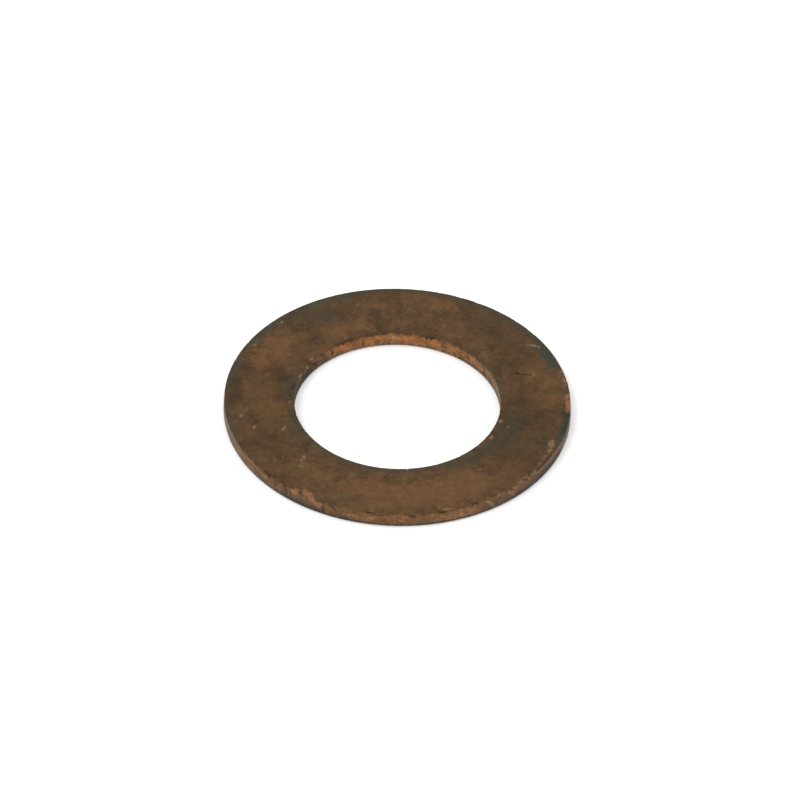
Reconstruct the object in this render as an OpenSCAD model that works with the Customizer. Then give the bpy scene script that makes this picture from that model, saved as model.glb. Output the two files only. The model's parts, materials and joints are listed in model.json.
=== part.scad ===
// Flat washer, punched from copper sheet in a compound die.
//
// The washer is one piece of metal, so it is one node: a cross-section turned about Z.
// The underside rests on z = 0 and the origin is at the middle of the bore.
//
// Both rims were sheared from the underside, so each has the same bands, from the bottom up:
//   rollover   the rounded corner where the punch drew the sheet in
//   land       the straight wall that the tool burnished
//   breakout   the torn wall above the land, which leans back from it
//   top round  the corner where tumbling has worn the burr away

/* [Washer] */
// Outside diameter, over the burnished land
outside_d = 22; // [16:0.5:40]
// Bore diameter, across the burnished land
bore_d = 13; // [6:0.5:18]
// Thickness of the sheet
thickness = 1; // [0.7:0.1:3]

/* [Sheared rims] */
// Radius of the rollover on the two bottom corners
rollover_r = 0.18; // [0.05:0.01:0.25]
// Height of the burnished land above the rollover
land_h = 0.3; // [0.1:0.02:0.36]
// Distance that each torn wall leans back by the time it reaches the top face
breakout_w = 0.03; // [0.01:0.01:0.1]
// Radius of the worn round on the two top corners
top_round_r = 0.05; // [0.02:0.01:0.08]

/* [Hidden] */
COPPER = "#6b4a30";
arc_steps = 8;
$fn = 180;

bore_r = bore_d / 2;
outside_r = outside_d / 2;
land_top_z = rollover_r + land_h;
// Each torn wall runs straight from the top of the land towards the top face, and lean_angle
// is how far that tips it from upright.
lean_angle = atan(breakout_w / (thickness - land_top_z));
// The centre of a top round stands this far in from the corner that it rounds, so that the
// arc meets both the torn wall and the top face smoothly.
round_inset = top_round_r * tan(45 - lean_angle / 2);

// Points along an arc, both ends included. Angles are in degrees, from +X towards +Y.
function arc(centre, radius, from, to) = [
    for (step = [0:arc_steps])
        let (angle = from + (to - from) * step / arc_steps)
            centre + radius * [cos(angle), sin(angle)]
];

// One rim of the cross-section, from its rollover up to its top round. out is 1 for the rim
// that faces away from the axis, and -1 for the bore's, which faces it.
function rim(land_r, out) = [
    for (point = concat(
        arc([-rollover_r, rollover_r], rollover_r, -90, 0),
        [[0, land_top_z]],
        arc([-breakout_w - round_inset, thickness - top_round_r], top_round_r, lean_angle, 90)
    ))
        [land_r + out * point.x, point.y]
];

function reversed(points) = [for (i = [len(points) - 1:-1:0]) points[i]];

module flat_washer() {
    color(COPPER)
        rotate_extrude()
            polygon(concat(rim(outside_r, 1), reversed(rim(bore_r, -1))));
}

flat_washer();
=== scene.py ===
# %% [markdown]
# # An old copper flat washer
#
# This lesson makes one flat washer that a punch cut from copper sheet, and then lets it grow old.
# The washer is a single piece of metal, so there are only two things to get right: the shape of a
# punched rim as it looks from close by, and a tarnish that is built up in layers, as the real one is.
#
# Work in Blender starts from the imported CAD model, which settles every size.

# %% Load the frame
import json
import math

import bmesh
import bpy
import numpy as np
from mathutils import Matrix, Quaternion, Vector


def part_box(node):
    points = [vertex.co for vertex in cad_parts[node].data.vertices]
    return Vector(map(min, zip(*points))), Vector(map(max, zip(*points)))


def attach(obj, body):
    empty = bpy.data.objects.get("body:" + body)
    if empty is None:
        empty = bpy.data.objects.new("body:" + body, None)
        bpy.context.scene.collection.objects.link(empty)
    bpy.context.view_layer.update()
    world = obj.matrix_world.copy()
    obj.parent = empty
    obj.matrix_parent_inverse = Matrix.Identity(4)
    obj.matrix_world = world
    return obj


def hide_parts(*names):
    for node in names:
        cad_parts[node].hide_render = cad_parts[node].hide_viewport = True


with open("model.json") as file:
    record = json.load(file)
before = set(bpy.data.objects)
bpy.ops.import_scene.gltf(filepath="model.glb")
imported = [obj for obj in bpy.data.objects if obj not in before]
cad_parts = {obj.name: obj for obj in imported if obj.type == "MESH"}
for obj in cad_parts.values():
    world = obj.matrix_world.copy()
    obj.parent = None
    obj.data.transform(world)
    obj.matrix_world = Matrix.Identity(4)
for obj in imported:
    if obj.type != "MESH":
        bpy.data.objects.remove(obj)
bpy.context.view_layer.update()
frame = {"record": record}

# %% [markdown]
# ## Sizes
#
# Blender works in metres, so lengths are written as a number of millimetres times MM. The outside
# radius and the thickness are read from the CAD node's box, which its facets leave a hair small, so
# they are rounded to a hundredth. The bore's radius comes from the record, where it is a mount. That
# mount is the straight part of the wall, so it also says where the part below it ends.

# %% Read the washer's sizes
MM = 0.001
low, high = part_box("flat_washer")
OUTSIDE_R = round((high.x - low.x) / 2 / MM, 2) * MM
THICKNESS = round((high.z - low.z) / MM, 2) * MM
bore_mount = next(mount for mount in frame["record"]["mounts"] if mount["name"] == "bore")
BORE_R = bore_mount["dims"]["r_mm"] * MM
LAND_H = bore_mount["dims"]["length_mm"] * MM
ROLLOVER_R = bore_mount["pos_m"][2] - LAND_H / 2
LAND_TOP = ROLLOVER_R + LAND_H
print(f"outside radius {OUTSIDE_R / MM} mm, bore radius {BORE_R / MM} mm")
print(f"thickness {THICKNESS / MM} mm, straight from {ROLLOVER_R / MM:.2f} to {LAND_TOP / MM:.2f} mm")

# %% [markdown]
# ## Nodes from Python
#
# Both the shape and the finish are node trees. Long formulas are hard to read when every sum is a
# node with two links, so a small class wraps a socket and turns ordinary arithmetic into Math nodes.
# A second class adds any other node from its type, its settings and its inputs.

# %% Wrap a socket
class Value:
    """The output of a node. Arithmetic on it adds Math nodes to its tree."""

    def __init__(self, graph, socket):
        self.graph = graph
        self.socket = socket

    def __add__(self, other):
        return self.graph.math("ADD", self, other)

    def __radd__(self, other):
        return self.graph.math("ADD", other, self)

    def __sub__(self, other):
        return self.graph.math("SUBTRACT", self, other)

    def __rsub__(self, other):
        return self.graph.math("SUBTRACT", other, self)

    def __mul__(self, other):
        return self.graph.math("MULTIPLY", self, other)

    def __rmul__(self, other):
        return self.graph.math("MULTIPLY", other, self)


# %% Wrap a tree
class Graph:
    """A node tree that is written as expressions."""

    def __init__(self, tree):
        self.tree = tree

    def node(self, kind, settings=None, inputs=None, output=0):
        """Adds a node, applies its settings, then sets or links its inputs."""
        made = self.tree.nodes.new(kind)
        for name, setting in (settings or {}).items():
            setattr(made, name, setting)
        for key, value in (inputs or {}).items():
            if isinstance(value, Value):
                self.tree.links.new(value.socket, made.inputs[key])
            else:
                made.inputs[key].default_value = value
        return Value(self, made.outputs[output])

    def math(self, operation, *values):
        """A Math node, with its values in order."""
        return self.node("ShaderNodeMath", {"operation": operation}, dict(enumerate(values)))

    def vector(self, operation, *vectors, **inputs):
        """A Vector Math node whose answer is a vector."""
        return self.node(
            "ShaderNodeVectorMath", {"operation": operation}, {**dict(enumerate(vectors)), **inputs}
        )

    def smooth(self, value, start, end):
        """Rises smoothly from 0 at start to 1 at end, and stays level beyond them."""
        return self.node(
            "ShaderNodeMapRange",
            {"interpolation_type": "SMOOTHSTEP"},
            {"Value": value, "From Min": start, "From Max": end},
        )

    def noise(self, place, scale, detail=2.0, roughness=0.5):
        """Soft noise from 0 to 1, with scale features to the millimetre."""
        return self.node(
            "ShaderNodeTexNoise",
            None,
            {"Vector": place, "Scale": scale, "Detail": detail, "Roughness": roughness},
        )

    def moved(self, place, offset, stretch=(1.0, 1.0, 1.0), turn=0.0):
        """The same place, turned about Z, stretched, then moved, so that patterns differ."""
        turned = self.node("ShaderNodeVectorRotate", None, {"Vector": place, "Angle": turn})
        return self.vector("MULTIPLY_ADD", turned, stretch, offset)

    def length(self, vector):
        """How long a vector is."""
        return self.node("ShaderNodeVectorMath", {"operation": "LENGTH"}, {0: vector}, "Value")

    def split(self, vector):
        """The X, Y and Z of a vector."""
        return [self.node("ShaderNodeSeparateXYZ", None, {0: vector}, axis) for axis in range(3)]


# %% [markdown]
# ## The punched section
#
# A punch leaves a rim with bands. It first draws the sheet in and rounds the corner, then it cuts and
# burnishes a straight land, and at last the rest of the thickness tears away and leans back a little.
# Years in a box of parts have worn the top corner round. Both rims were cut from the same side, so the
# outside and the bore have the same bands, from the bottom up.
#
# The section is drawn as a closed loop of points. Each point says how much it belongs to a wall, and
# how much to the worn top edge, because the tree that sweeps the section needs both. The lean and the
# round are drawn a little smaller than in the CAD model, because the wear adds to them.

# %% Draw one rim of the section
LEAN = 0.02 * MM
TOP_ROUND_R = 0.03 * MM
ROLLOVER_STEPS = 8
LAND_STEPS = 7
TORN_STEPS = 14
ROUND_STEPS = 6
TOP_FACE_STEPS = 41
UNDERSIDE_STEPS = 21

lean_angle = math.atan2(LEAN, THICKNESS - LAND_TOP)
round_inset = TOP_ROUND_R * math.tan(math.pi / 4 - lean_angle / 2)
print(f"the torn band leans back by {math.degrees(lean_angle):.1f} degrees")


def spread(start, end, count):
    """Evenly spaced numbers, count of them, from start towards end but without end itself."""
    return [start + (end - start) * step / count for step in range(count)]


def rim(land_r, out):
    """Points (radius, height, wall, edge) up one rim. out is 1 outside and -1 in the bore."""
    points = []
    for angle in spread(-math.pi / 2, 0, ROLLOVER_STEPS):
        inset = ROLLOVER_R * (math.cos(angle) - 1)
        points.append((inset, ROLLOVER_R * (1 + math.sin(angle)), math.cos(angle), 0))
    for height in spread(ROLLOVER_R, LAND_TOP, LAND_STEPS):
        points.append((0, height, 1, 0))
    round_bottom = THICKNESS - TOP_ROUND_R * (1 - math.sin(lean_angle))
    for height in spread(LAND_TOP, round_bottom, TORN_STEPS):
        share = (height - LAND_TOP) / (THICKNESS - LAND_TOP)
        points.append((-LEAN * share, height, 1, max(0, share * 2 - 1)))
    for angle in spread(lean_angle, math.pi / 2, ROUND_STEPS):
        inset = -LEAN - round_inset + TOP_ROUND_R * math.cos(angle)
        height = THICKNESS - TOP_ROUND_R * (1 - math.sin(angle))
        points.append((inset, height, math.cos(angle), 1))
    return [(land_r + out * inset, height, wall, edge) for inset, height, wall, edge in points]


# %% Close the section
def face(start_r, end_r, height, count, edge_reach=0.0):
    """Points across a flat face. edge fades from 1 at both ends within edge_reach."""
    points = []
    for radius in spread(start_r, end_r, count):
        nearest = min(abs(radius - start_r), abs(radius - end_r))
        edge = max(0.0, 1 - nearest / edge_reach) if edge_reach else 0.0
        points.append((radius, height, 0, edge))
    return points


EDGE_REACH = 0.35 * MM
top_inset = LEAN + round_inset
outside_rim = rim(OUTSIDE_R, 1)
bore_rim = rim(BORE_R, -1)
top_face = face(OUTSIDE_R - top_inset, BORE_R + top_inset, THICKNESS, TOP_FACE_STEPS, EDGE_REACH)
underside = face(BORE_R + ROLLOVER_R, OUTSIDE_R - ROLLOVER_R, 0, UNDERSIDE_STEPS)
# The bore's rim is walked down, so the corner points that it shares with the faces swap ends.
bore_walk = [(BORE_R + top_inset, THICKNESS, 0, 1)] + bore_rim[:0:-1]
section = outside_rim + top_face + bore_walk + underside
print(len(section), "points round the section")

# %% [markdown]
# ## Sweeping and wearing the ring
#
# Spin or a lathe modifier could turn the section into a ring, but the rim of an old washer isn't the
# same all the way round: the torn band wanders up and down, its edge is nicked, and the faces are a
# little wavy. Geometry Nodes sweep the section round a circle and wear the result in one go, and every
# size stays a named input that can be turned up or down.
#
# All wear goes inwards, against the surface's own normal, so the ring never grows past its real size.
# Near the top edge the push is turned towards the corner, so that the edge goes in as a whole.

# %% Turn the section into a mesh loop
def section_mesh(points, path_r):
    """A closed loop of edges, with X outwards from path_r and Y downwards, as the sweep wants it.

    Turning Y over mirrors the section, so its points are taken backwards to keep faces outwards. Each
    point also stores its share of the way round the loop, which the flat map needs later.
    """
    points = points[::-1]
    mesh = bpy.data.meshes.new("washer_section")
    corners = [(radius - path_r, -height, 0) for radius, height, wall, edge in points]
    loop = [(index, (index + 1) % len(points)) for index in range(len(points))]
    mesh.from_pydata(corners, loop, [])
    around = [index / len(points) for index in range(len(points))]
    columns = {
        "wall": [point[2] for point in points],
        "edge": [point[3] for point in points],
        "around": around,
    }
    for name, values in columns.items():
        layer = mesh.attributes.new(name, "FLOAT", "POINT")
        layer.data.foreach_set("value", values)
    return mesh


PATH_R = (OUTSIDE_R + BORE_R) / 2
STEPS_ROUND = 750
washer_section = section_mesh(section, PATH_R)
print(len(washer_section.edges) * STEPS_ROUND * 2, "triangles in the swept ring")

# %% [markdown]
# The tree first sweeps the section. The circle's normals are set to Z up, so that the section's own
# Y axis stays upright all the way round. It then works in millimetres, because noise is easier to
# think about as so many features to the millimetre.
#
# - **Waves** are one slow noise over the whole ring.
# - **The torn band** starts above the straight land, at a height that wanders, and is rough. Only the
#   higher part of its noise tears, so that most of the band stays close to its true size.
# - **Streaks** on the land are noise that is stretched upwards, which is how the punch moved.
# - **Edge wear** is noise that only bites where it is high, so that the worn corner has nicks.
# - **Pits** are the middles of a few Voronoi cells.

# %% Name the tree's inputs
UP = (0.0, 0.0, 1.0)
LEVEL = (1.0, 1.0, 0.0)
RING_INPUTS = {
    "Section": ("NodeSocketGeometry", None),
    "Path radius": ("NodeSocketFloat", PATH_R),
    "Steps round": ("NodeSocketInt", STEPS_ROUND),
    "Land top": ("NodeSocketFloat", LAND_TOP / MM),
    "Land wander": ("NodeSocketFloat", 0.26),
    "Wave depth": ("NodeSocketFloat", 0.012),
    "Tear depth": ("NodeSocketFloat", 0.045),
    "Streak depth": ("NodeSocketFloat", 0.006),
    "Edge wear": ("NodeSocketFloat", 0.06),
    "Pit depth": ("NodeSocketFloat", 0.03),
    "Seed": ("NodeSocketFloat", 7.0),
    "Material": ("NodeSocketMaterial", None),
}
print(len(RING_INPUTS), "inputs, with depths in millimetres")


def named(g, name):
    """A number that the section stored at each of its points."""
    return g.node("GeometryNodeInputNamedAttribute", {"data_type": "FLOAT"}, {"Name": name})


# %% Sweep the section round a circle
def sweep(g, given):
    """The ring before any wear."""
    profile = g.node("GeometryNodeMeshToCurve", None, {"Mesh": given["Section"]})
    circle = g.node(
        "GeometryNodeCurvePrimitiveCircle",
        {"mode": "RADIUS"},
        {"Resolution": given["Steps round"], "Radius": given["Path radius"]},
    )
    path = g.node("GeometryNodeSetCurveNormal", {"mode": "Z_UP"}, {"Curve": circle})
    return g.node("GeometryNodeCurveToMesh", None, {"Curve": path, "Profile Curve": profile})


# %% Choose which way the wear pushes
CORNER_PULL = 4.0


def push_direction(g, given, place):
    """A step against the normal, or in from the corner where the edge is worn."""
    from_axis = g.vector("MULTIPLY", place, LEVEL)
    side = g.math("SIGN", g.length(from_axis) - given["Path radius"] * (1 / MM))
    corner = g.vector("ADD", g.vector("SCALE", g.vector("NORMALIZE", from_axis), Scale=side), UP)
    pull = g.vector("SCALE", corner, Scale=named(g, "edge") * CORNER_PULL)
    outward = g.vector("ADD", g.node("GeometryNodeInputNormal"), pull)
    return g.vector("SCALE", g.vector("NORMALIZE", outward), Scale=-1.0)


# %% Work out the torn band and the pits
TORN_BORDER = 0.06
PIT_CELLS = 0.9


def torn_band(g, given, seeded, height):
    """1 on a wall above the height at which the sheet tore, which wanders, and 0 below it."""
    wander = g.noise(g.moved(seeded, (0.0, 9.0, 0.0), stretch=LEVEL), 0.7, detail=4.0)
    land_top = given["Land top"] + (wander - 0.5) * given["Land wander"]
    return g.smooth(height - land_top, 0.0, TORN_BORDER) * named(g, "wall")


def pits(g, seeded):
    """1 in the middles of a few Voronoi cells, which are chosen by their random colour."""
    cells = {"Vector": seeded, "Scale": PIT_CELLS}
    away = g.node("ShaderNodeTexVoronoi", {"feature": "F1"}, cells, "Distance")
    tint = g.node("ShaderNodeTexVoronoi", {"feature": "F1"}, cells, "Color")
    chosen = g.smooth(g.split(tint)[0], 0.55, 0.9)
    return (1 - g.smooth(away, 0.03, 0.16)) * chosen


# %% Add up how deep the wear goes
UPRIGHT_STRETCH = (1.0, 1.0, 0.16)
TEAR_FLOOR = 0.4


def wear(g, given, seeded, height):
    """The depth of all wear in millimetres, and the masks that are needed later."""
    wall = named(g, "wall")
    torn = torn_band(g, given, seeded, height)
    waves = g.noise(seeded, 0.14, detail=1.0)
    upright = g.moved(seeded, (3.0, 1.0, 0.0), stretch=UPRIGHT_STRETCH)
    rough = g.noise(upright, 2.6, detail=4.0, roughness=0.6) + g.noise(seeded, 5.0, detail=2.0) * 0.4
    tear = g.math("MAXIMUM", rough - TEAR_FLOOR, 0.0)
    streaks = g.noise(upright, 7.0, detail=2.0)
    bite = g.smooth(g.noise(seeded, 1.8, detail=4.0, roughness=0.65), 0.53, 0.78) * named(g, "edge")
    pit = pits(g, seeded)
    depth = (
        waves * given["Wave depth"]
        + torn * tear * given["Tear depth"]
        + (wall - torn) * streaks * given["Streak depth"]
        + bite * given["Edge wear"]
        + pit * given["Pit depth"]
    )
    grain = g.noise(seeded, 3.2, detail=3.0, roughness=0.6)
    return depth, {"bite": bite, "pit": pit, "grain": grain}


# %% Build the tree that sweeps and wears
SEED_STEP = 10.0


def ring_tree():
    """The tree. What it stores on the mesh is read by the marks and by the finish."""
    tree = bpy.data.node_groups.new("punched_ring", "GeometryNodeTree")
    for name, (kind, default) in RING_INPUTS.items():
        socket = tree.interface.new_socket(name, in_out="INPUT", socket_type=kind)
        if default is not None:
            socket.default_value = default
    tree.interface.new_socket("Ring", in_out="OUTPUT", socket_type="NodeSocketGeometry")
    g = Graph(tree)
    group = tree.nodes.new("NodeGroupInput")
    given = {name: Value(g, group.outputs[name]) for name in RING_INPUTS}

    place = g.vector("SCALE", g.node("GeometryNodeInputPosition"), Scale=1 / MM)
    seed = g.node("ShaderNodeCombineXYZ", None, {"Z": given["Seed"] * SEED_STEP})
    seeded = g.vector("ADD", place, seed)
    push = push_direction(g, given, place)
    depth, masks = wear(g, given, seeded, g.split(place)[2])

    ring = sweep(g, given)
    for name, value in {**masks, "push": push}.items():
        kind = "FLOAT_VECTOR" if name == "push" else "FLOAT"
        ring = g.node(
            "GeometryNodeStoreNamedAttribute",
            {"data_type": kind, "domain": "POINT"},
            {"Geometry": ring, "Name": name, "Value": value},
        )
    offset = g.vector("SCALE", push, Scale=depth * MM)
    ring = g.node("GeometryNodeSetPosition", None, {"Geometry": ring, "Offset": offset})
    ring = g.node("GeometryNodeSetShadeSmooth", None, {0: ring, "Shade Smooth": True})
    ring = g.node("GeometryNodeRealizeInstances", None, {"Geometry": ring})
    ring = g.node(
        "GeometryNodeSetMaterial", None, {"Geometry": ring, "Material": given["Material"]}
    )
    tree.links.new(ring.socket, tree.nodes.new("NodeGroupOutput").inputs[0])
    return tree


washer_tree = ring_tree()
print(len(washer_tree.nodes), "nodes sweep and wear the ring")

# %% [markdown]
# The section's object carries the tree as a modifier. Its inputs are set by their sockets'
# identifiers, before the object is first evaluated. The evaluated object is then turned into a plain
# mesh, which is the washer from here on, and the section isn't needed any more.

# %% Sweep the ring
copper = bpy.data.materials.new("tarnished_copper")


def set_inputs(modifier, values):
    """Sets a Geometry Nodes modifier's inputs by the names that its tree gives them."""
    for socket in modifier.node_group.interface.items_tree:
        if socket.in_out == "INPUT" and socket.name in values:
            modifier[socket.identifier] = values[socket.name]


def added(name, data):
    """A new object that is linked to the scene."""
    made = bpy.data.objects.new(name, data)
    bpy.context.scene.collection.objects.link(made)
    return made


def swept(mesh, tree, name, values):
    """A plain mesh object, made by a tree from a section."""
    source = added(name + "_section", mesh)
    modifier = source.modifiers.new("sweep", "NODES")
    modifier.node_group = tree
    set_inputs(modifier, values)
    depsgraph = bpy.context.evaluated_depsgraph_get()
    made = bpy.data.meshes.new_from_object(source.evaluated_get(depsgraph))
    made.name = name
    bpy.data.objects.remove(source)
    return added(name, made)


washer = swept(washer_section, washer_tree, "copper_washer", {"Material": copper})
print(len(washer.data.vertices), "points,", len(washer.data.polygons), "faces")

# %% Turn every face outwards
def face_outwards(mesh):
    """Recalculates the normals of a closed mesh. Returns its volume and how many edges are open."""
    shape = bmesh.new()
    shape.from_mesh(mesh)
    bmesh.ops.recalc_face_normals(shape, faces=shape.faces)
    volume = shape.calc_volume(signed=True)
    open_edges = sum(1 for edge in shape.edges if len(edge.link_faces) != 2)
    shape.to_mesh(mesh)
    shape.free()
    return volume, open_edges


washer_volume, washer_open_edges = face_outwards(washer.data)
print(f"volume {washer_volume / MM**3:.1f} mm3, {washer_open_edges} open edges")

# %% [markdown]
# ## Marks of its own
#
# Noise gives general wear, but an old washer is known by a few marks of its own. Sculpting them by
# hand couldn't be repeated by a script, so each mark is written down as a line on the metal: where it
# starts, where it ends, and how wide it is. A place is (degrees round from +X, millimetres from the
# axis, millimetres above the underside), so a line between two angles follows the rim.
#
# The marks paint attributes on the mesh, which the material reads, and dents also push the metal in.
# The grain that the tree stored frays their edges, so that none looks drawn with a ruler. A few marks
# are
# painted light: shadow on the bore's left wall and at the foot of the near wall, shade on the far rim,
# and highlights and a glint on the bore's edge and wall.

# %% Measure the washer in degrees and millimetres
def attribute_values(mesh, name, field="value", width=1):
    """An attribute of every point, as an array with width columns, or flat if that is 1."""
    values = np.zeros(len(mesh.vertices) * width, np.float32)
    mesh.attributes[name].data.foreach_get(field, values)
    return values.reshape(-1, width) if width > 1 else values


points = attribute_values(washer.data, "position", "vector", 3)
polar = np.stack(
    (
        np.degrees(np.arctan2(points[:, 1], points[:, 0])),
        np.hypot(points[:, 0], points[:, 1]) / MM,
        points[:, 2] / MM,
    ),
    axis=1,
)
grain = attribute_values(washer.data, "grain")
print(f"heights from {polar[:, 2].min():.3f} to {polar[:, 2].max():.3f} mm")

# %% Paint marks as attributes
HALF_TURN = 180
FRAY = 0.9


def short_way(steps):
    """Rows of (degrees, mm, mm), with the degrees taken the short way round."""
    steps[:, 0] = (steps[:, 0] + HALF_TURN) % (2 * HALF_TURN) - HALF_TURN
    return steps


def nearness(start, end, width):
    """1 on the line between two places, falling smoothly to 0 at about width from it."""
    per_degree = math.radians((start[1] + end[1]) / 2)
    scale = np.array((per_degree, 1, 1))
    away = short_way(polar - np.array(start)) * scale
    along = short_way(np.array([end]) - np.array(start))[0] * scale
    length_squared = along @ along
    share = np.clip(away @ along / length_squared, 0, 1) if length_squared else np.zeros(len(away))
    distance = np.linalg.norm(away - share[:, None] * along, axis=1)
    near = np.clip(1 - distance / width * (1 + FRAY * (grain - 0.5)), 0, 1)
    return near * near * (3 - 2 * near)


def painted(name, marks):
    """Stores the strongest nearness to any of the marks as an attribute, and returns it."""
    values = np.zeros(len(polar))
    for start, end, width, strength in marks:
        values = np.maximum(values, nearness(start, end, width) * strength)
    layer = washer.data.attributes.new(name, "FLOAT", "POINT")
    layer.data.foreach_set("value", values.astype(np.float32))
    return values


TOP = THICKNESS / MM
RIM = OUTSIDE_R / MM
BORE = BORE_R / MM

# %% Dents and nicks
# Each mark is (start, end, width, strength), and a dent's strength is its share of the depth.
DENTS = [
    # On the top face
    ((122, 6.6, TOP), (117, 6.55, TOP), 0.26, 0.7),
    ((172, 6.65, TOP), (168, 6.6, TOP), 0.3, 0.8),
    ((-139, 10.9, TOP), (-136, 10.95, TOP), 0.25, 1.0),
    ((-99, 10.9, TOP), (-97, 10.95, TOP), 0.22, 1.0),
    ((-71, 10.7, TOP), (-66, 10.85, TOP), 0.15, 0.6),
    ((-63, 10.9, TOP), (-61, 10.9, TOP), 0.2, 0.9),
    ((22, 8.1, TOP), (21.5, 8.2, TOP), 0.28, 1.0),
    ((21.5, 8.2, TOP), (19.2, 8.95, TOP), 0.15, 0.8),
    ((-16, 7.0, TOP), (-17, 7.15, TOP), 0.15, 0.8),
    # On the bore's wall and its edges
    ((149, 6.6, TOP), (143, BORE, 0.5), 0.25, 0.9),
    ((139, 6.55, TOP), (136, BORE, 0.7), 0.2, 0.8),
    ((131.5, 6.6, TOP), (129.5, BORE, 0.6), 0.22, 0.6),
    ((111, BORE, 0.9), (110, BORE, 0.3), 0.18, 0.7),
    ((74, BORE, 0.95), (70, 6.65, TOP), 0.25, 1.0),
    ((66, BORE, 0.9), (65, BORE, 0.5), 0.16, 0.7),
    ((49, BORE, 0.9), (48, BORE, 0.6), 0.16, 0.7),
    ((34, BORE, 0.8), (33, BORE, 0.5), 0.15, 0.8),
    ((58, BORE, 0.4), (57, BORE, 0.2), 0.15, 0.8),
    # On the outside wall and its edges
    ((-134, RIM, 0.95), (-133.5, RIM, 0.6), 0.18, 0.9),
    ((-130.5, RIM, 0.95), (-129, RIM, 0.7), 0.17, 0.8),
    ((-114.5, RIM, 0.6), (-114, RIM, 0.35), 0.16, 0.8),
    ((-127.5, RIM, 0.9), (-127, RIM, 0.65), 0.2, 0.8),
    ((-111, RIM, 0.85), (-110, RIM, 0.6), 0.18, 0.9),
    ((-104, RIM, 0.9), (-103.5, RIM, 0.8), 0.2, 0.8),
    ((-97.5, RIM, 0.78), (-93, RIM, 0.84), 0.12, 0.7),
    ((-85, RIM, 0.95), (-83.5, RIM, 0.75), 0.26, 1.0),
    ((-75, 10.95, TOP), (-73, RIM, 0.9), 0.2, 1.0),
]
DENT_DEPTH = 0.12 * MM
dent = painted("dent", DENTS)
print(len(DENTS), "dents")

# %% Scrapes that show bare copper, and a painted glint
SCRAPES_AND_GLINT = [
    # On the top face
    ((5, 10.8, TOP), (-3, 10.8, TOP), 0.3, 1.0),
    ((18, 10.8, TOP), (10, 10.8, TOP), 0.18, 0.7),
    # On the bore's wall and its edges
    # The mark from 95 to 90 degrees on the bore's wall is a painted glint, under the bright speck at 93
    # degrees.
    ((95, BORE, 0.68), (90, BORE, 0.6), 0.26, 1.0),
    ((64, BORE, 0.5), (60, BORE, 0.4), 0.18, 0.7),
    ((42, BORE, 0.6), (38, BORE, 0.5), 0.2, 0.7),
    # On the outside wall and its edges
    ((-126.5, RIM, 0.85), (-122.5, 10.6, TOP), 0.42, 1.0),
    ((-122, 10.65, TOP), (-116, RIM, 0.7), 0.42, 1.0),
    ((-136, 10.9, TOP), (-132, RIM, 0.7), 0.25, 0.6),
    ((-112, RIM, 0.55), (-110, RIM, 0.6), 0.2, 0.6),
    ((-107, RIM, 0.5), (-105, RIM, 0.6), 0.2, 0.7),
    ((-75, RIM, 0.6), (-66, RIM, 0.45), 0.22, 0.7),
    ((-49, RIM, 0.8), (-47, RIM, 0.5), 0.3, 0.8),
]
painted("bare", SCRAPES_AND_GLINT)
print(len(SCRAPES_AND_GLINT), "scrapes")

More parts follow.
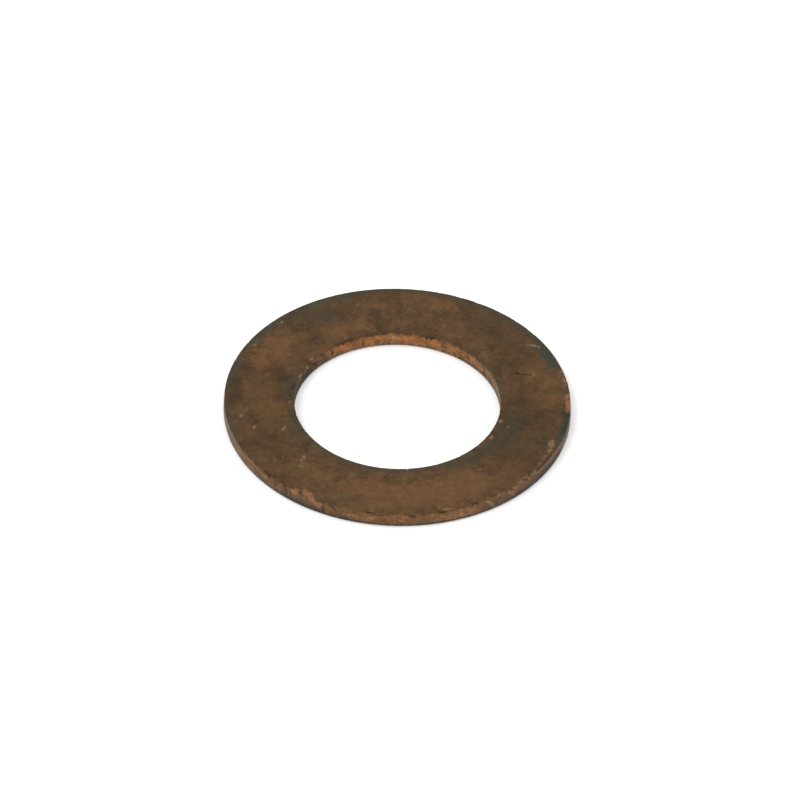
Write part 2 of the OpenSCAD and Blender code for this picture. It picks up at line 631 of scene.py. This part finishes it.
# %% Pale specks, where the tarnish has chipped off, and painted highlights
SPECKS_AND_HIGHLIGHTS = [
    # On the top face
    ((-158.5, 7.6, TOP), (-156.5, 7.85, TOP), 0.16, 0.8),
    ((-136, 8.1, TOP), (-133, 8.8, TOP), 0.3, 0.7),
    ((-164, 9.2, TOP), (-161, 9.6, TOP), 0.16, 0.7),
    ((-142, 9.6, TOP), (-141, 9.9, TOP), 0.16, 0.6),
    # This line along the bore's top edge is a painted highlight.
    ((96, 6.55, TOP), (82, 6.55, TOP), 0.12, 0.6),
    ((-170, 10.0, TOP), (-169.5, 10.1, TOP), 0.22, 0.9),
    ((-15, 6.75, TOP), (-14, 6.8, TOP), 0.24, 1.0),
    ((-17, 7.25, TOP), (-17.5, 7.35, TOP), 0.16, 0.8),
    ((-29, 6.8, TOP), (-28, 6.85, TOP), 0.22, 0.8),
    ((35.5, 10.0, TOP), (33.5, 10.35, TOP), 0.22, 0.9),
    ((32.5, 10.5, TOP), (31.5, 10.5, TOP), 0.16, 0.7),
    ((20.5, 9.2, TOP), (17, 8.8, TOP), 0.4, 0.4),
    ((17, 10.7, TOP), (15, 10.7, TOP), 0.18, 0.8),
    ((10, 10.6, TOP), (9.5, 10.6, TOP), 0.18, 0.7),
    ((135.5, 10.5, TOP), (135, 10.5, TOP), 0.24, 1.2),
    ((151, 10.4, TOP), (151, 10.5, TOP), 0.22, 0.9),
    ((162, 6.55, TOP), (160, 6.55, TOP), 0.2, 1.2),
    ((-177, 6.85, TOP), (-176, 6.9, TOP), 0.2, 0.9),
    ((147, 6.8, TOP), (144, 6.7, TOP), 0.2, 0.6),
    ((-73, 10.75, TOP), (-70, 10.8, TOP), 0.25, 0.9),
    ((-53, 10.92, TOP), (-47, 10.85, TOP), 0.26, 0.45),
    ((-45, 10.85, TOP), (-40, 10.8, TOP), 0.3, 0.5),
    ((-38, 10.9, TOP), (-36, 10.85, TOP), 0.2, 0.9),
    ((-36, 10.8, TOP), (-26, 10.6, TOP), 0.3, 0.45),
    ((-24.5, 10.6, TOP), (-20, 10.45, TOP), 0.36, 0.9),
    ((-62, 9.4, TOP), (-61, 9.4, TOP), 0.14, 0.8),
    ((-52, 8.3, TOP), (-50, 8.4, TOP), 0.2, 0.6),
    # On the bore's wall and its edges
    # The line from 40 to 14 degrees along the bore's top edge is a painted highlight.
    ((40, BORE, 0.95), (14, 6.53, TOP), 0.14, 0.5),
    ((47, BORE, 0.8), (42, BORE, 0.9), 0.16, 0.7),
    ((30, BORE, 0.85), (26, BORE, 0.9), 0.16, 0.7),
    # This strong speck is a painted glint on the bore's wall.
    ((93, BORE, 0.66), (92, BORE, 0.64), 0.14, 2.4),
    ((154, 6.6, TOP), (151, BORE, 0.9), 0.2, 0.7),
    # On the outside wall and its edges
    ((-140.5, RIM, 0.75), (-138, RIM, 0.6), 0.2, 0.8),
    ((-58, RIM, 0.85), (-55.5, RIM, 0.35), 0.22, 1.1),
]
painted("speck", SPECKS_AND_HIGHLIGHTS)
print(len(SPECKS_AND_HIGHLIGHTS), "specks_and_highlights")

# %% Fresh copper, where a wall still shows its cut
FRESH_PATCHES = [
    # On the top face
    ((-25, 10.8, TOP), (-21, 10.7, TOP), 0.3, 0.8),
    # On the bore's wall and its edges
    ((112, BORE, 0.5), (85, BORE, 0.5), 0.6, 0.8),
    ((125, BORE, 0.5), (118, BORE, 0.5), 0.4, 0.8),
    ((78, BORE, 0.6), (66, BORE, 0.6), 0.45, 0.7),
    ((58, BORE, 0.6), (36, BORE, 0.6), 0.4, 0.9),
    # On the outside wall and its edges
    ((-75, RIM, 0.4), (-64, RIM, 0.35), 0.4, 0.9),
    ((-49, RIM, 0.6), (-46, RIM, 0.4), 0.35, 1.0),
    ((-102, RIM, 0.6), (-88, RIM, 0.5), 0.4, 0.4),
]
painted("fresh", FRESH_PATCHES)
print(len(FRESH_PATCHES), "patches of fresh copper")

# %% Grey-green stains, where damp has sat, and painted shade
COOL_STAINS_AND_SHADE = [
    # On the top face
    ((126, 10.2, TOP), (120, 9.4, TOP), 1.8, 0.6),
    ((45, 10.9, TOP), (30, 10.9, TOP), 0.8, 1.0),
    ((32, 10.8, TOP), (22, 10.8, TOP), 1.1, 1.4),
    ((172, 10.8, TOP), (164, 10.8, TOP), 1.0, 0.8),
    ((-176, 10.9, TOP), (-160, 10.9, TOP), 0.7, 0.6),
    ((-14, 7.6, TOP), (-32, 7.6, TOP), 1.7, 0.6),
    ((-34, 7.2, TOP), (-60, 7.0, TOP), 1.0, 0.7),
    ((-20, 9.4, TOP), (-30, 9.2, TOP), 1.6, 0.4),
    ((-60, 6.7, TOP), (-118, 6.7, TOP), 0.45, 0.9),
    ((-118, 6.6, TOP), (-150, 6.6, TOP), 0.5, 0.8),
    ((-150, 6.7, TOP), (-168, 6.7, TOP), 0.6, 0.9),
    ((165, 6.9, TOP), (-178, 6.8, TOP), 0.8, 0.7),
    ((-108, 9.9, TOP), (-102, 9.8, TOP), 1.2, 0.5),
    ((56, 9.0, TOP), (40, 9.2, TOP), 1.6, 0.3),
    ((50, 6.7, TOP), (8, 6.7, TOP), 0.5, 0.5),
    # On the bore's wall and its edges
    # The bore's left wall, from 150 to 178 degrees, is painted grey-green as shadow.
    ((178, BORE, 0.6), (150, BORE, 0.5), 0.8, 1.0),
    ((15, BORE, 0.5), (-10, BORE, 0.5), 0.8, 0.35),
    ((52, BORE, 0.2), (12, BORE, 0.3), 0.45, 0.6),
    # On the outside wall and its edges
    # The next four marks, on the far rim, are partly a grey-green stain and partly painted shade where
    # the rim faces away from the light.
    ((178, RIM, 0.98), (2, RIM, 0.98), 0.3, 1.2),
    ((150, RIM, TOP), (104, RIM, TOP), 1.2, 1.0),
    ((104, RIM, TOP), (70, RIM, TOP), 0.8, 1.0),
    ((70, RIM, TOP), (45, 10.9, TOP), 1.1, 0.8),
    ((-5, RIM, TOP), (-19, RIM, TOP), 0.8, 1.2),
    ((-158, RIM, 0.6), (-178, RIM, 0.6), 0.9, 0.4),
    # These two, low on the near outer wall, are painted shadow at its foot.
    ((-129, RIM, 0.2), (-115, RIM, 0.15), 0.5, 1.1),
    ((-107, RIM, 0.15), (-102, RIM, 0.1), 0.35, 0.9),
    ((-46, RIM, 0.3), (-34, RIM, 0.25), 0.6, 0.6),
    ((-34, RIM, 0.4), (-18, RIM, 0.4), 0.7, 0.75),
    # On the underside
    ((60, 9.6, 0), (20, 10.2, 0), 1.6, 0.9),
    ((-95, 7.2, 0), (-150, 7.4, 0), 1.4, 0.8),
    ((160, 10.4, 0), (120, 9.4, 0), 1.2, 0.7),
]
painted("cool", COOL_STAINS_AND_SHADE)
print(len(COOL_STAINS_AND_SHADE), "grey-green stains")

# %% Red-brown stains, where the oxide is thin
WARM_STAINS = [
    # On the top face
    ((80, 9.8, TOP), (72, 9.8, TOP), 1.3, 0.8),
    ((156, 9.2, TOP), (146, 9.2, TOP), 1.9, 1.2),
    ((20, 9.4, TOP), (2, 9.4, TOP), 1.8, 0.7),
    ((-58, 9.2, TOP), (-104, 9.0, TOP), 2.4, 1.5),
    ((120, 7.6, TOP), (106, 8.0, TOP), 1.4, 0.8),
    ((176, 8.6, TOP), (-172, 8.6, TOP), 1.8, 0.8),
    ((171.5, 9.8, TOP), (171, 9.9, TOP), 0.25, 1.6),
    ((165, 8.6, TOP), (164, 8.5, TOP), 0.28, 1.4),
    ((100, 9.4, TOP), (97, 9.3, TOP), 0.4, 1.4),
    ((5, 9.9, TOP), (1, 9.8, TOP), 0.5, 1.4),
    ((-44, 9.6, TOP), (-62, 9.2, TOP), 1.6, 0.7),
    ((-118, 9.2, TOP), (-128, 8.6, TOP), 1.6, 0.6),
    ((152, 6.7, TOP), (136, 6.7, TOP), 0.8, 0.9),
    ((66, 8.0, TOP), (40, 7.8, TOP), 1.6, 0.6),
    # On the underside
    ((-20, 8.6, 0), (-70, 9.4, 0), 2.2, 1.0),
    ((110, 8.0, 0), (80, 7.6, 0), 1.6, 0.9),
]
painted("warm", WARM_STAINS)
print(len(WARM_STAINS), "red-brown stains")

# %% Dark stains, and painted shadow on the bore's left wall
DARK_STAINS_AND_SHADE = [
    # On the top face
    ((-2, 8.0, TOP), (-34, 8.6, TOP), 3.2, 0.8),
    ((-4, 10.8, TOP), (-14, 10.9, TOP), 0.6, 1.2),
    ((54, 9.0, TOP), (28, 8.6, TOP), 2.8, 0.5),
    ((166, 7.6, TOP), (158, 8.4, TOP), 0.9, 0.9),
    ((-176, 10.4, TOP), (172, 10.4, TOP), 1.0, 0.8),
    ((-150, 8.6, TOP), (170, 8.6, TOP), 2.6, 0.35),
    ((128, 6.6, TOP), (76, 6.6, TOP), 0.2, 0.9),
    # On the bore's wall and its edges
    # These two paint the bore's left wall dark, as shadow.
    ((172, BORE, 0.5), (136, BORE, 0.3), 0.9, 1.8),
    ((178, BORE, 0.5), (-160, BORE, 0.5), 0.9, 1.0),
    # On the outside wall and its edges
    # These two darken the lower part of the outer wall.
    ((-140, RIM, 0.4), (-106, RIM, 0.4), 0.7, 0.8),
    ((-58, RIM, 0.3), (-22, RIM, 0.3), 0.8, 1.2),
]
painted("dark", DARK_STAINS_AND_SHADE)
print(len(DARK_STAINS_AND_SHADE), "dark stains")

# %% Push the dents in
push = attribute_values(washer.data, "push", "vector", 3)
points += push * (dent * DENT_DEPTH)[:, None].astype(np.float32)
washer.data.vertices.foreach_set("co", points.ravel())
washer.data.update()
print(f"deepest dent {dent.max() * DENT_DEPTH / MM:.2f} mm")

# %% [markdown]
# ## A flat map of the ring
#
# When the washer is exported, its finish is baked into flat pictures, so every face needs a place on
# them. An automatic unwrap would break the rough walls into hundreds of scraps. A ring is easy to
# unroll by a rule instead: the angle runs one way and the way round the section runs the other. The
# ring is cut into two strips that lie one above the other, because two of them nearly make a square.

# %% Unroll the ring
STRIPS = 2
MAP_GAP = 0.003


def unbroken(shares):
    """One row for each face. A face that spans the cut, where 1 turns into 0, is carried past 1."""
    spans_cut = shares.max(axis=1) - shares.min(axis=1) > 0.5
    shares = shares + ((shares < 0.5) & spans_cut[:, None])
    return shares - np.floor(shares.mean(axis=1))[:, None]


corner_points = np.zeros(len(washer.data.loops), np.int32)
washer.data.loops.foreach_get("vertex_index", corner_points)
faces = corner_points.reshape(-1, 4)
turn = unbroken((polar[:, 0] / (2 * HALF_TURN) + 0.5)[faces]) * STRIPS
around = unbroken(attribute_values(washer.data, "around")[faces])
strip = np.floor(turn.mean(axis=1))[:, None]
across = MAP_GAP + (turn - strip) * (1 - 2 * MAP_GAP)
upwards = (strip + MAP_GAP + around * (1 - 2 * MAP_GAP)) / STRIPS
flat_map = washer.data.uv_layers.new(name="OFBake")
flat_map.data.foreach_set("uv", np.stack((across, upwards), axis=2).astype(np.float32).ravel())
print(len(faces), "faces on the map, from", across.min().round(4), "to", across.max().round(4))

# %% [markdown]
# ## Into the frame
#
# The CAD washer is hidden, and stays only for contact.

# %% Hand the washer to the frame
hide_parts("flat_washer")
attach(washer, "root")
print(washer.name, "stands for flat_washer and rides on root")

# %% [markdown]
# ## The finish
#
# Old copper isn't one brown. From the metal up, there is bright orange copper where the sheet was cut,
# brown oxide over it, redder where the film is thin and olive where it is thick, then grey-green stains
# where damp has sat, and black grime in every hole. Each layer gets a colour and a mask, and the layers
# are mixed in the order in which they grew. The masks are noise at several scales, together with the
# attributes that the wear and the marks left on the mesh. Some layers also carry painted light: shade
# at the foot of the walls, on the bore's left wall and on the far rim, and highlights on the edges and
# the bore.
#
# Colours are written as they look, in the usual hexadecimal form, and a helper makes them linear.

# %% Name the colours
SRGB_KNEE = 0.04045
SRGB_SLOPE = 12.92
SRGB_OFFSET = 0.055
SRGB_POWER = 2.4


def linear(part):
    """One part of a colour, from 0 to 1, as the amount of light that it stands for."""
    if part <= SRGB_KNEE:
        return part / SRGB_SLOPE
    return ((part + SRGB_OFFSET) / (1 + SRGB_OFFSET)) ** SRGB_POWER


def colour(code):
    """A linear colour from a hexadecimal one, such as #6b4a30."""
    parts = [int(code[start : start + 2], 16) / 255 for start in (1, 3, 5)]
    return (*(linear(part) for part in parts), 1.0)


BROWN_OXIDE = colour("#65492e")
DARK_OXIDE = colour("#4d3a27")
RED_OXIDE = colour("#715034")
OLIVE_OXIDE = colour("#56462c")
GREY_GREEN = colour("#3d4035")
CUT_COPPER = colour("#93633c")
DULL_COPPER = colour("#6d5138")
# Bare copper and pale specks also paint a glint and highlights on the bore, and pale flecks a highlight
# along the top edge.
BARE_COPPER_AND_GLINT = colour("#8b6349")
PALE_FLECK_AND_HIGHLIGHT = colour("#8a6e54")
CUPRITE = colour("#57301e")
PALE_SPECK_AND_HIGHLIGHT = colour("#8a7356")
GRIME_AND_SHADE = colour("#372516")
GLANCING_TINT = colour("#f6efe6")

# %% Start the finish
copper.use_nodes = True
copper.node_tree.nodes.clear()
g = Graph(copper.node_tree)
coordinates = g.node("ShaderNodeTexCoord", output="Object")
place = g.vector("SCALE", coordinates, Scale=1 / MM)
height = g.split(place)[2]
from_axis = g.length(g.vector("MULTIPLY", place, LEVEL))
WALL_REACH = 1.5
outside = g.smooth(from_axis, BORE + WALL_REACH, RIM - WALL_REACH)


def stored(name):
    """An attribute of the mesh, as a mask."""
    return g.node("ShaderNodeAttribute", {"attribute_name": name}, output="Fac")


def mix(factor, under, over):
    """One colour laid over another, by a factor from 0 to 1."""
    return g.node(
        "ShaderNodeMix", {"data_type": "RGBA"}, {0: factor, 6: under, 7: over}, output=2
    )


# %% [markdown]
# ### Noise at several scales
#
# Tarnish has no single grain. There are slow changes across the whole washer, patches of one or two
# millimetres, mottling inside them, and specks. Each is a noise of its own, moved so that no two line
# up. **Ragged** adds the mottling and the blots, and frays the border of each mask that it is added to.

# %% Make the noises
slow = g.noise(place, 0.3, detail=3.0, roughness=0.55)
patches = g.noise(g.moved(place, (5.0, 2.0, 8.0)), 0.75, detail=5.0, roughness=0.62)
blotches = g.noise(g.moved(place, (2.0, 8.0, 5.0)), 1.7, detail=4.0, roughness=0.6)
mottle = g.noise(g.moved(place, (1.0, 7.0, 3.0)), 2.6, detail=4.0, roughness=0.65)
blots = g.noise(g.moved(place, (9.0, 4.0, 2.0)), 4.5, detail=2.0, roughness=0.6)
speckle = g.noise(g.moved(place, (4.0, 4.0, 1.0)), 8.0, detail=2.0)
ragged = (mottle - 0.5) * 0.8 + (blots - 0.5) * 0.7
print(len(copper.node_tree.nodes), "nodes so far")

# %% [markdown]
# ### Layers, from the metal up
#
# Every layer below is a colour and a mask. Cut copper on the walls comes straight after the oxide on
# the faces, because stains, scratches and grime lie over both. Most masks end in a smooth step between
# two levels, which says how much of the noise shows and how soft its border is. Near the worn edge,
# the border between a face and a wall is left to the noise alone, as wear leaves it.

# %% Lay the oxide
oxide = mix(g.smooth(patches, 0.3, 0.7), DARK_OXIDE, BROWN_OXIDE)
thick = g.smooth(slow * 0.5 + blotches * 0.5 + ragged * 0.5, 0.42, 0.62)
oxide = mix(thick * 0.45, oxide, OLIVE_OXIDE)
warm = g.smooth(stored("warm") + (patches - 0.5) * 1.2 + ragged * 0.9, -0.1, 1.3)
oxide = mix(warm * 0.85, oxide, RED_OXIDE)

# %% Show cut copper on the walls
edge = stored("edge")
border = (stored("wall") - 0.5) * (1 - edge) + 0.5
wall = g.smooth(border + ragged * 0.8, 0.45, 0.8)
fresh = g.smooth(blotches - outside * 0.1 + stored("fresh") * 0.16 + ragged * 0.6, 0.36, 0.74)
cut = mix(fresh * (1 - outside * 0.25), DULL_COPPER, CUT_COPPER)
surface = mix(wall, oxide, cut)

# %% Stain it, and paint shade at the foot of the walls
# The foot of every wall, more so outside, is painted grey-green and grimy as shade where the wall meets
# the floor.
low_down = 1 - g.smooth(height + ragged * 0.2, 0.05, 0.42)
painted_foot_shade = low_down * g.smooth(stored("wall"), 0.0, 0.4) * (0.4 + outside * 0.8)
cool = g.smooth(stored("cool") + painted_foot_shade * 0.45 + (patches - 0.5) * 1.0 + ragged * 0.9, 0.0, 1.3)
surface = mix(cool, surface, GREY_GREEN)
red_spots = g.smooth(blotches - ragged * 0.3, 0.64, 0.74) * (1 - cool)
surface = mix(red_spots * 0.45, surface, CUPRITE)

# %% Scratch it
LINE_STRETCH = (0.14, 1.5, 1.0)
LINE_WIDTH = 0.016


def scratches(turn, shift):
    """Thin lines that run in one direction, broken up into short lengths."""
    drawn_out = g.moved(place, shift, stretch=LINE_STRETCH, turn=turn)
    level = g.noise(drawn_out, 1.0, detail=2.0)
    line = 1 - g.smooth(g.math("ABSOLUTE", level - 0.5), 0.0, LINE_WIDTH)
    return line * g.smooth(g.noise(g.moved(place, shift), 0.7, detail=2.0), 0.52, 0.66)


lines = scratches(0.5, (0.0, 3.0, 0.0)) + scratches(-0.9, (6.0, 1.0, 0.0))
lines = lines + scratches(1.7, (2.0, 6.0, 0.0))

# %% Wear it bare, and paint highlights along the edges
# Rubbed edges are partly wear and partly a painted highlight where light catches the top edge.
rubbed_edge_and_highlight = g.smooth(edge * (0.5 - stored("dark") * 0.3) + ragged + (blotches - 0.5) * 0.6, 0.55, 0.85)
flecks_and_highlight = g.smooth(blots, 0.66, 0.8) * 0.6 + lines * 0.16 + rubbed_edge_and_highlight * 0.7
surface = mix(flecks_and_highlight, surface, PALE_FLECK_AND_HIGHLIGHT)
# Bare copper also paints the glint on the bore's wall, and pale specks the highlights along the bore's
# top edge.
bare = g.smooth(stored("bare") * (1 + ragged * 3.0), 0.25, 0.75)
surface = mix(bare * 0.9, surface, BARE_COPPER_AND_GLINT)
specks_and_highlights = g.smooth(stored("speck") * (1 + ragged * 4.0 + (speckle - 0.5) * 1.5), 0.1, 1.0)
surface = mix(specks_and_highlights * 0.9, surface, PALE_SPECK_AND_HIGHLIGHT)

# %% Rub grime into it, and the painted shade at the foot of the walls
holes = g.smooth(mottle - ragged * 0.2, 0.56, 0.66) * (wall + edge * 0.5) * 0.7
dots = g.smooth(1 - blots, 0.62, 0.74) * 0.65
hollows = stored("dent") + stored("pit") * 0.7 + stored("bite") * 0.5
# Grime also takes in the painted shade at the foot of the walls.
grime_and_foot_shade = g.smooth(hollows + holes + dots + painted_foot_shade * 0.8 + (speckle - 0.5) * 0.3, 0.25, 0.95)
surface = mix(grime_and_foot_shade * 0.85, surface, GRIME_AND_SHADE)
# The dark marks include the painted shadow on the bore's left wall.
dark = stored("dark") * (0.3 + blotches * 1.4)
tone = (mottle * 0.85 + blots * 0.35 + blotches * 0.6 + patches * 0.2) * (1 - dark * 0.3)
surface = g.vector("SCALE", surface, Scale=tone)
print(len(copper.node_tree.nodes), "nodes up to the colour")

# %% [markdown]
# ### Relief and shine
#
# The finest wear is too small for the mesh, so a bump adds it. Scraped and cut copper is smoother than
# the oxide, and stains are rougher. Where dark marks lie on a wall, the shine is taken away too, which
# deepens the painted shadow on the bore's left wall and darkens the low outer wall. At a low angle
# metal turns nearly white, and GLANCING_TINT keeps a little of the copper's warmth there.

# %% Join it to the shader
OXIDE_METALLIC = 0.85
OXIDE_ROUGHNESS = 0.52

relief = mottle * 0.014 + speckle * 0.005 + blots * 0.012 - lines * 0.004
bump = g.node("ShaderNodeBump", None, {"Strength": 1.0, "Distance": MM, "Height": relief})
metal = g.smooth(wall + bare, 0.0, 1.0) * 0.1 + OXIDE_METALLIC
roughness = OXIDE_ROUGHNESS + (mottle - 0.5) * 0.3 + cool * 0.1 - wall * 0.1 - bare * 0.14
# On the bore's left wall this deepens the painted shadow; on the outer wall it darkens the lower part.
dark_wall_dulling = g.math("MINIMUM", dark * wall * 0.45, 1.0)
shader = g.node(
    "ShaderNodeBsdfPrincipled",
    None,
    {
        "Base Color": surface,
        "Metallic": metal * (1 - grime_and_foot_shade * 0.2) * (1 - cool * 0.2) * (1 - dark_wall_dulling),
        "Roughness": roughness + dark_wall_dulling * 0.5,
        "Specular Tint": GLANCING_TINT,
        "Normal": bump,
    },
)
output = copper.node_tree.nodes.new("ShaderNodeOutputMaterial")
copper.node_tree.links.new(shader.socket, output.inputs["Surface"])
print(len(copper.node_tree.nodes), "nodes make the finish")

# %% [markdown]
# ## Camera, light and floor
#
# A long lens from a good way off shows a small round thing as an even ellipse. The camera faces +Y,
# looks down by a little under half a right angle, and is rolled by a degree or so. It aims a hair
# beside the washer's middle.

# %% Aim the camera
LENS_MM = 915
CAMERA_AWAY = 117 * OUTSIDE_R
LOOK_DOWN = math.radians(40.76)
ROLL = math.radians(1.53)
AIM_RIGHT = 0.16 * MM
AIM_UP = 0.44 * MM
FAR_CLIP = 10

back = Vector((0, -math.cos(LOOK_DOWN), math.sin(LOOK_DOWN)))
picture_up = Vector((0, math.sin(LOOK_DOWN), math.cos(LOOK_DOWN)))
target = Vector((AIM_RIGHT, 0, THICKNESS / 2)) + picture_up * AIM_UP
camera = added("camera", bpy.data.cameras.new("camera"))
camera.data.lens = LENS_MM
camera.data.clip_end = FAR_CLIP
camera.location = target + back * CAMERA_AWAY
camera.rotation_mode = "QUATERNION"
camera.rotation_quaternion = (-back).to_track_quat("-Z", "Y") @ Quaternion(UP, ROLL)
bpy.context.scene.camera = camera
print(f"the camera is {CAMERA_AWAY:.2f} m away")

# %% [markdown]
# Metal is lit by what it reflects, so the world is plain white all round, as in a light tent. One soft
# lamp from the front left gives the rims their shape. The floor is nearly white and glows very faintly,
# like a sweep that is lit from behind, so that only a thin shadow is left under the washer.

# %% Light the tent
WHITE = (1.0, 1.0, 1.0, 1.0)
LAMP_POWER = 0.8
LAMP_SIZE = 0.3
LAMP_PLACE = (-0.22, -0.22, 0.4)

bpy.context.scene.view_settings.view_transform = "Standard"
tent = bpy.data.worlds.new("light_tent")
tent.use_nodes = True
tent.node_tree.nodes["Background"].inputs["Color"].default_value = WHITE
bpy.context.scene.world = tent

lamp = added("soft_lamp", bpy.data.lights.new("soft_lamp", "AREA"))
lamp.data.energy = LAMP_POWER
lamp.data.size = LAMP_SIZE
lamp.location = LAMP_PLACE
lamp.rotation_mode = "QUATERNION"
lamp.rotation_quaternion = (-lamp.location).to_track_quat("-Z", "Y")
print(f"the lamp is {lamp.location.length:.2f} m away and {LAMP_SIZE} m wide")

# %% Lay the floor
FLOOR_HALF = 1.0
FLOOR_GAP = 0.01 * MM
CARD_LOOK = {
    "Base Color": (0.95, 0.95, 0.95, 1.0),
    "Roughness": 1.0,
    "Emission Color": WHITE,
    "Emission Strength": 0.15,
}

sides = ((-1, -1), (1, -1), (1, 1), (-1, 1))
corners = [(x * FLOOR_HALF, y * FLOOR_HALF, -FLOOR_GAP) for x, y in sides]
floor_mesh = bpy.data.meshes.new("floor")
floor_mesh.from_pydata(corners, [], [(0, 1, 2, 3)])
floor = added("floor", floor_mesh)
card = bpy.data.materials.new("white_card")
card.use_nodes = True
for socket, value in CARD_LOOK.items():
    card.node_tree.nodes["Principled BSDF"].inputs[socket].default_value = value
floor_mesh.materials.append(card)
print(f"the floor is {2 * FLOOR_HALF} m across, {FLOOR_GAP / MM} mm under the washer")
